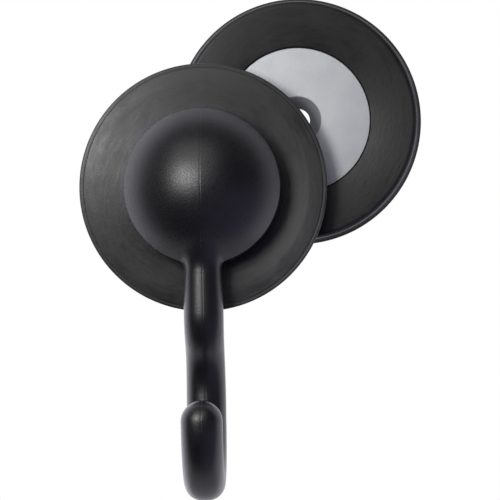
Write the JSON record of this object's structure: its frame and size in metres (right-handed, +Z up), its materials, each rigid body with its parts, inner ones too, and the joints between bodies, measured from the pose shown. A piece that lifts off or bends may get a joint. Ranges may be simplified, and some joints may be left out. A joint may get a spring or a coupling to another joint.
{
  "type": "two-piece magnetic hook",
  "caption": "Rubber-rimmed magnet disc with a plastic dome and J hook, held on a matching countersunk counter disc that screws to a wall or sits behind a sheet.",
  "frame": {"origin": "centre of the counter disc's back face, on the wall plane", "axes": "+Y into the wall along the discs' axes, +Z up, the hook stands out towards -Y and +X is to the right as seen from the front"},
  "size_m": [0.0912, 0.0512, 0.1339],
  "materials": {
    "rubber": "matt black moulded rubber",
    "black_plastic": "satin black moulded plastic with a fine grain",
    "zinc_plate": "matt zinc-plated steel",
    "magnet": "nickel-plated sintered magnet",
    "plain_steel": "plain mild steel",
    "brass": "turned brass",
    "zinc_screw": "zinc-plated steel"
  },
  "bodies": {
    "counter_disc": {"counter_rubber": "rubber", "counter_face_plate": "zinc_plate", "counter_magnet": "magnet", "counter_yoke_plate": "plain_steel", "counter_bush": "plain_steel"},
    "hook_disc": {"base_rubber": "rubber", "base_face_plate": "zinc_plate", "base_magnet": "magnet", "base_yoke_plate": "plain_steel", "base_bush": "plain_steel"},
    "hook": {"hook_moulding": "black_plastic", "thread_insert": "brass", "socket_screw": "zinc_screw"}
  },
  "joints": [
    {"name": "disc_slide", "type": "slide", "parent": "counter_disc", "child": "hook_disc", "axis": [-0.8168, 0, -0.5769], "range_m": [-0.03085, 0.036]},
    {"name": "hook_swivel", "type": "hinge", "parent": "hook_disc", "child": "hook", "pos_m": [-0.0252, -0.0086, -0.0178], "axis": [0, 1, 0], "continuous": true}
  ]
}
